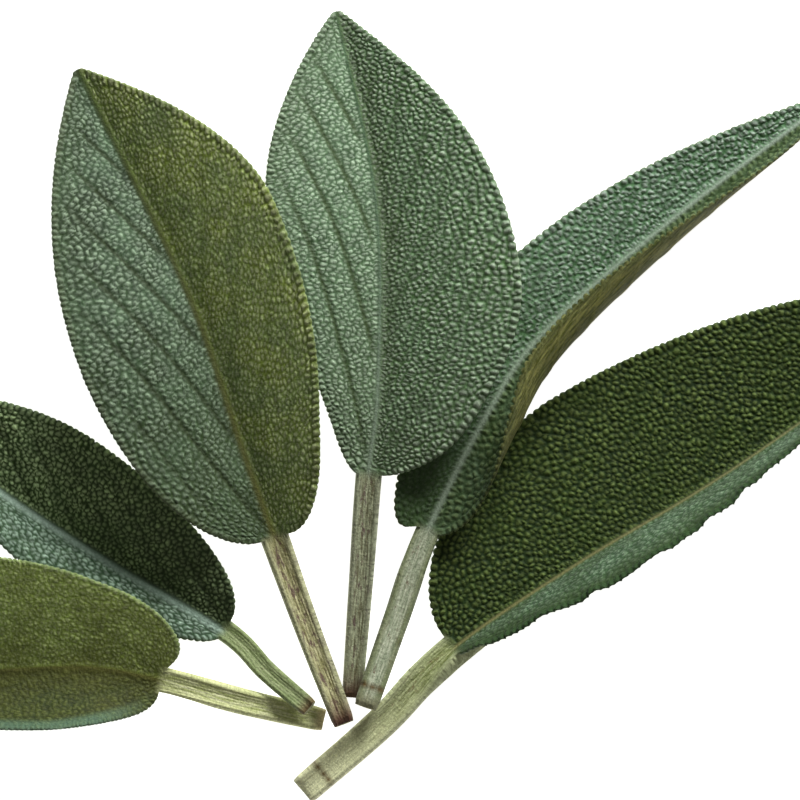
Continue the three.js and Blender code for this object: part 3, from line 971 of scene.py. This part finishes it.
def underside(leaf, look):
    gap, lean = leaf["left"]["vein_gap"] * MM, math.radians(leaf["left"]["vein_lean"])
    net_colour, filling, vein_colour = look["under"]
    return [
        ("strands_at", STRETCH, "flat", (0.1, 1, 1)),
        ("strands", NOISE, "strands_at", PER_MM / STRAND_SIZE, 4, 0.7),
        ("stranded", RANGE, "strands", 0.41, 0.59),
        ("net", NET, "flat", PER_MM / MESH_SIZE, 0.8),
        ("meshed", RANGE, "net", 0, 0.25),
        ("filled", BLEND, look["under_streak"], "meshed", "stranded"),
        ("below", PAINT, "filled", net_colour, filling),
        # side veins, as far apart and as slanted as on the upper side
        ("along", ALONG, "flat"),
        ("across", ACROSS, "flat"),
        ("out", SIZE, "across"),
        ("slanted", TIMES_PLUS, "out", -1 / math.tan(lean), "along"),
        ("from_vein", FOLD, "slanted", gap / 2),
        ("side_vein", EASED, "from_vein", 0, RAISED_VEIN * MM / math.sin(lean), 0.6, 0),
        ("below", PAINT, "side_vein", "below", vein_colour),
        ("raised", LESS, "side_vein", "filled"),
        ("raised", TIMES, "raised", "under"),
        ("surface", PAINT, "under", "blade", "below"),
        ("surface", PAINT, "rim", "surface", look["edge"]),
    ]


# %% The stalk: pale strands, purple-brown flecks, darker flanks and a stained cut end
FLECK_SIZE = 0.9
SCAR, PITH = "#5a4420", "#b9b98c"


def stalk_and_end(look):
    (fleck, fleck_show), (stain, stain_from) = look["fleck"], look["stain"]
    fleck_from, fleck_full = (edge - 0.3 * fleck_show for edge in (0.66, 0.74))
    return [
        ("strip", PAINT, "stranded", *look["stalk"]),
        ("flecks_at", STRETCH, "flat", (0.3, 1, 1)),
        ("flecks", NOISE, "flecks_at", PER_MM / FLECK_SIZE, 4, 0.75),
        ("flecked", RANGE, "flecks", fleck_from, fleck_full, 0, 0.85),
        ("strip", PAINT, "flecked", "strip", fleck),
        ("flanked", TIMES, "flank", 0.7),
        ("strip", PAINT, "flanked", "strip", look["flank"]),
        ("stained", EASED, "stalk", stain_from, 1),
        ("strip", PAINT, "stained", "strip", stain),
        ("strip", PAINT, "ring", "strip", SCAR),
        ("strip", PAINT, "pith", "strip", PITH),
        ("surface", PAINT, "on_stalk", "surface", "strip"),
    ]


# %% The nap: felted hairs that scatter light, without polish
HAIR_SIZE, LUMP_SIZE = 0.3, 0.5
NAP = [
    ("hairs", NOISE, "flat", PER_MM / HAIR_SIZE, 3, 0.7),
    ("gain", RANGE, "hairs", 0.3, 0.7, 0.7, 1.3),
    ("surface", BRIGHTEN, "surface", "gain"),
    ("lumps", NOISE, "flat", PER_MM / LUMP_SIZE, 3, 0.7),
    ("bump", BUMP, "raised", 0.8, 0.3 * MM),
    ("bump", BUMP, "lumps", 0.8, 0.25 * MM, "bump"),
    ("bump", BUMP, "hairs", 0.5, 0.08 * MM, "bump"),
]

# %% The downy leaf material
FACTS = SKIN_FACTS + (
    "under", "stalk", "on_stalk", "flank", "ring", "pith", "share", "left", "rib",
)


def leaf_material(leaf, look):
    """Green leaf tissue under white down, with its own tones for each half and the stalk."""
    material = bpy.data.materials.new(look["material"])
    material.use_nodes = True
    tree = material.node_tree
    tree.nodes.clear()
    sockets = {}
    for name in FACTS + ("flat",):
        read = add(tree, "ShaderNodeAttribute", {"attribute_name": name}, {})
        sockets[name] = read.outputs["Vector" if name == "flat" else "Fac"]
    rows = upper_side(look) + underside(leaf, look) + stalk_and_end(look) + NAP
    for name, (kind, settings, slots, output), *values in rows:
        inputs = {slot: sockets.get(value, value) for slot, value in zip(slots, values)}
        sockets[name] = add(tree, kind, settings, inputs).outputs[output]
    shader = add(tree, "ShaderNodeBsdfPrincipled", {}, {
        "Base Color": sockets["surface"], "Normal": sockets["bump"], "Roughness": 0.62,
        "IOR": 1.42, "Specular IOR Level": look["gloss"], "Sheen Weight": 0.08,
        "Sheen Roughness": 0.5, "Sheen Tint": "#dfe8df",
    })
    add(tree, "ShaderNodeOutputMaterial", {}, {"Surface": shader.outputs[0]})
    return material


# %% The look of each leaf
# left, right: its halves in the furrows and on the crests, their pale crests partly painted
# highlight and their furrows partly painted shade; patch, edge: painted over them
# base, vein, fleck, stain: a colour, and how much of it shows or from where it starts; base is
# also the colour of the painted shade beside the midrib and on the base
# rib: at the base and at the tip, with how much of each shows; flank: the stalk's sides
# under: the net, its filling and the side veins underneath; stalk: its dark and pale strands
DOWNY = {
    "fibre": 0.15, "gloss": 0.35, "under": ("#93a07c", "#6f805c", "#b4bf9c"), "under_streak": 0.2
}
LOOKS = {
    "leaf_lower_left": dict(
        DOWNY, material="sage_leaf_olive_downy", left=("#273306", "#555d2c"),
        # its teal edge is painted light: the up-turned margin of its lower half faces the light
        right=("#798d3d", "#a7b376"), patch="#55581e", edge="#688a72", base=("#5c5a26", 0.2),
        vein=("#4a5a35", 0.35), rib=("#6c6a32", "#6a6a38", 0.65, 0.3),
        stalk=("#a2aa66", "#d6d7a6"), flank="#cdd096", fleck=("#77733f", 0.1),
        stain=("#d6cb9c", 0.92), fibre=0.25, gloss=0.3
    ),
    "leaf_left": dict(
        DOWNY, material="sage_leaf_dark_downy", left=("#294728", "#9fb6a0"),
        right=("#243b05", "#b0c68e"), patch="#3d522e", edge="#2a3a24", base=("#1c280c", 0.2),
        vein=("#1d2a18", 0.4), rib=("#9db3a1", "#a6bcaa", 0.85, 0.8),
        stalk=("#7b8a55", "#a3ad7d"), flank="#6c7a48", fleck=("#5c5230", 0.2),
        stain=("#6b5a38", 0.88), under=("#8e9c7a", "#6a7b58", "#b0bb98")
    ),
    "leaf_upper_left": dict(
        DOWNY, material="sage_leaf_grey_green_downy", left=("#1c310d", "#8b9c82"),
        right=("#798c36", "#b8c08a"), patch="#5d7859", edge="#4a4c28", base=("#34441c", 0.1),
        # the midrib's dark colour towards the tip is painted shade in the crease
        vein=("#2c3818", 0.85), rib=("#6a6834", "#33421c", 0.75, 0.9),
        stalk=("#837f4e", "#c6c192"), flank="#a3a480", fleck=("#5f4240", 0.5),
        stain=("#5a3c2c", 0.82), fibre=0.25
    ),
    "leaf_upper_centre": dict(
        DOWNY, material="sage_leaf_silver_green_downy", left=("#3b5733", "#a7ba9d"),
        right=("#4a6c3b", "#a2b098"), patch="#6d8866", edge="#4c5a3c", base=("#565c40", 0.3),
        vein=("#3a4a24", 0.85), rib=("#93a18c", "#7c957f", 0.7, 0),
        stalk=("#6c6a4c", "#a9ae8c"), flank="#8f9378", fleck=("#573a3c", 0.4),
        stain=("#5a4034", 0.85)
    ),
    "leaf_upper_right": dict(
        DOWNY, material="sage_leaf_folded_downy", left=("#487144", "#9fac9d"),
        right=("#2a411c", "#82945e"), patch="#738c72", edge="#34492c", base=("#34491e", 0.3),
        vein=("#33482c", 0.4), rib=("#8e9c86", "#a4b2a0", 0.85, 0.7),
        stalk=("#8c9678", "#bcc0a4"), flank="#6c7444", fleck=("#5e4630", 0.3),
        stain=("#8c8a68", 0.9), under=("#5a5e18", "#9c9a52", "#98974b"), under_streak=1.0
    ),
    "leaf_right": dict(
        # its dark upper half is partly painted shade: the half lies nearly flat, and its tones are
        # darkened as if it were turned from the light
        DOWNY, material="sage_leaf_deep_green_downy", left=("#142905", "#606f37"),
        right=("#355332", "#7f9478"), patch="#30430c", edge="#27421c", base=("#2c3f14", 0.1),
        vein=("#1d2a10", 0.15), rib=("#7a7648", "#8f8f62", 0.9, 0.7),
        stalk=("#6f7840", "#afb684"), flank="#b4ba8e", fleck=("#6a5c34", 0.35),
        stain=("#d2d2a6", 0.1), under=("#8b9a78", "#6a7c5a", "#acb894"), fibre=0.1, gloss=0.25
    ),
}

# %% [markdown]
# ## Make the leaves
#
# Each finished leaf takes the place of its plain CAD leaf. The fan was drawn about its own
# origin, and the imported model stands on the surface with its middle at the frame's origin,
# so the leaves are shifted by the difference between the two boxes.

# %% Build them all
pieces = []
for leaf in LEAVES:
    piece = build_leaf(leaf, "sage_" + leaf["node"])
    piece.data.materials.append(leaf_material(leaf, LOOKS[leaf["node"]]))
    pieces.append(piece)
    print(piece.name, len(piece.data.polygons), "faces")


# %% Find the fan's place in the frame
BLADE_ROWS, BLADE_STEPS = 31, 6
STALK_ROWS, STALK_STEPS = 8, 11


def plain_box():
    """The box of the six leaves without pebbles or scallops, in the fan's own place."""
    corners = []
    for leaf in LEAVES:
        line = trace_line(leaf)
        station = -line["stalk"] * np.linspace(0, 1, STALK_ROWS)[:, None]
        across = rib_half_width(leaf, line, station) * np.linspace(-1, 1, STALK_STEPS)
        grids = [(station * np.ones(STALK_STEPS), across)]
        along = np.linspace(0, 1, BLADE_ROWS)[:, None] * line["length"]
        for name, sign in SIDES.items():
            flat_edge, distance = outline_of(leaf, name, line["length"])
            edge = read_at(np.linspace(0, distance[-1], BLADE_ROWS), distance, flat_edge)
            out = np.linspace(0, 1, BLADE_STEPS)
            grids.append((mix(along, edge[:, :1], out), sign * edge[:, 1:] * out))
        for station, across in grids:
            point, outward = surface_at(leaf, line, station, across)
            thick = thickness_at(leaf, line, station, across)[..., None]
            corners += [point.reshape(-1, 3), (point - outward * thick).reshape(-1, 3)]
    corners = np.vstack(corners) * MM
    return corners.min(0), corners.max(0)


low, high = plain_box()
cad_low, cad_high = np.array(CAD_BOX)
shift = (cad_low + cad_high) / 2 - (low + high) / 2
shift[2] = cad_low[2] - low[2]
print("shift into the frame, mm:", np.round(shift * 1000, 3))

# %% Put the leaves there
for piece, leaf in zip(pieces, LEAVES):
    corners = np.empty(len(piece.data.vertices) * 3)
    piece.data.vertices.foreach_get("co", corners)
    piece.data.vertices.foreach_set("co", (corners.reshape(-1, 3) + shift).reshape(-1))
    piece.data.update()
    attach(piece, "root")
    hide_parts(leaf["node"])

# %% [markdown]
# ## Floor, light and camera
#
# The leaves lie on a plain white table and are seen from straight above. A large cool soft
# light beyond the leaf tips rakes across the pebbles, and a dim warm one fills the shadows.
# The lens is long, so that leaves at different heights keep their true proportions.

# %% The white table
TABLE_SIZE = 3.0
table_sheet = bmesh.new()
bmesh.ops.create_grid(table_sheet, x_segments=4, y_segments=4, size=TABLE_SIZE)
table_mesh = bpy.data.meshes.new("table")
table_sheet.to_mesh(table_mesh)
table_sheet.free()
table = put_in_scene("table", table_mesh)
# matt white paper that glows a little, so that it stays white under a dim light
paper = bpy.data.materials.new("matt_white_paper")
paper.use_nodes = True
paper_inputs = paper.node_tree.nodes["Principled BSDF"].inputs
paper_inputs["Base Color"].default_value = linear("#fbfbfa")
paper_inputs["Roughness"].default_value = 0.9
paper_inputs["Emission Color"].default_value = linear("#ffffff")
paper_inputs["Emission Strength"].default_value = 0.92
table_mesh.materials.append(paper)


# %% Soft studio light
def soft_light(name, direction, distance, size, power, colour):
    """A square area light in a direction from the fan, turned to face it."""
    lamp = bpy.data.lights.new(name, "AREA")
    lamp.shape = "SQUARE"
    lamp.size = size
    lamp.energy = power
    lamp.color = linear(colour)[:3]
    holder = put_in_scene(name, lamp)
    away = np.array(direction) / np.linalg.norm(direction)
    holder.location = away * distance
    pitch = math.acos(away[2])
    turn = math.atan2(away[1], away[0]) + math.pi / 2
    holder.rotation_euler = (pitch, 0.0, turn)
    holder.visible_camera = False


# where each lies, how far away, how wide and how strong it is, and its colour
soft_light("window", (0.4, 0.9, 0.5), 0.9, 0.32, 12.0, "#fbfdff")
soft_light("fill", (-0.5, -0.9, 1.2), 1.1, 0.8, 0.6, "#fff2e2")
world = bpy.data.worlds.new("studio")
world.use_nodes = True
sky = world.node_tree.nodes["Background"].inputs
sky["Color"].default_value = linear("#f4f5f6")
sky["Strength"].default_value = 0.16
bpy.context.scene.world = world
bpy.context.scene.view_settings.view_transform = "Standard"

# %% The camera
FRAME_WIDTH = 0.1  # the width of table that the picture takes in
LEAF_HEIGHT = 0.004  # most of the leaves' tops lie at about this height
lens = bpy.data.cameras.new("camera")
lens.lens = 400.0
lens.sensor_width = 36.0
lens.clip_end = 20.0
camera = put_in_scene("camera", lens)
camera_height = LEAF_HEIGHT + FRAME_WIDTH * lens.lens / lens.sensor_width
camera.location = (shift[0], shift[1], camera_height)
bpy.context.scene.camera = camera
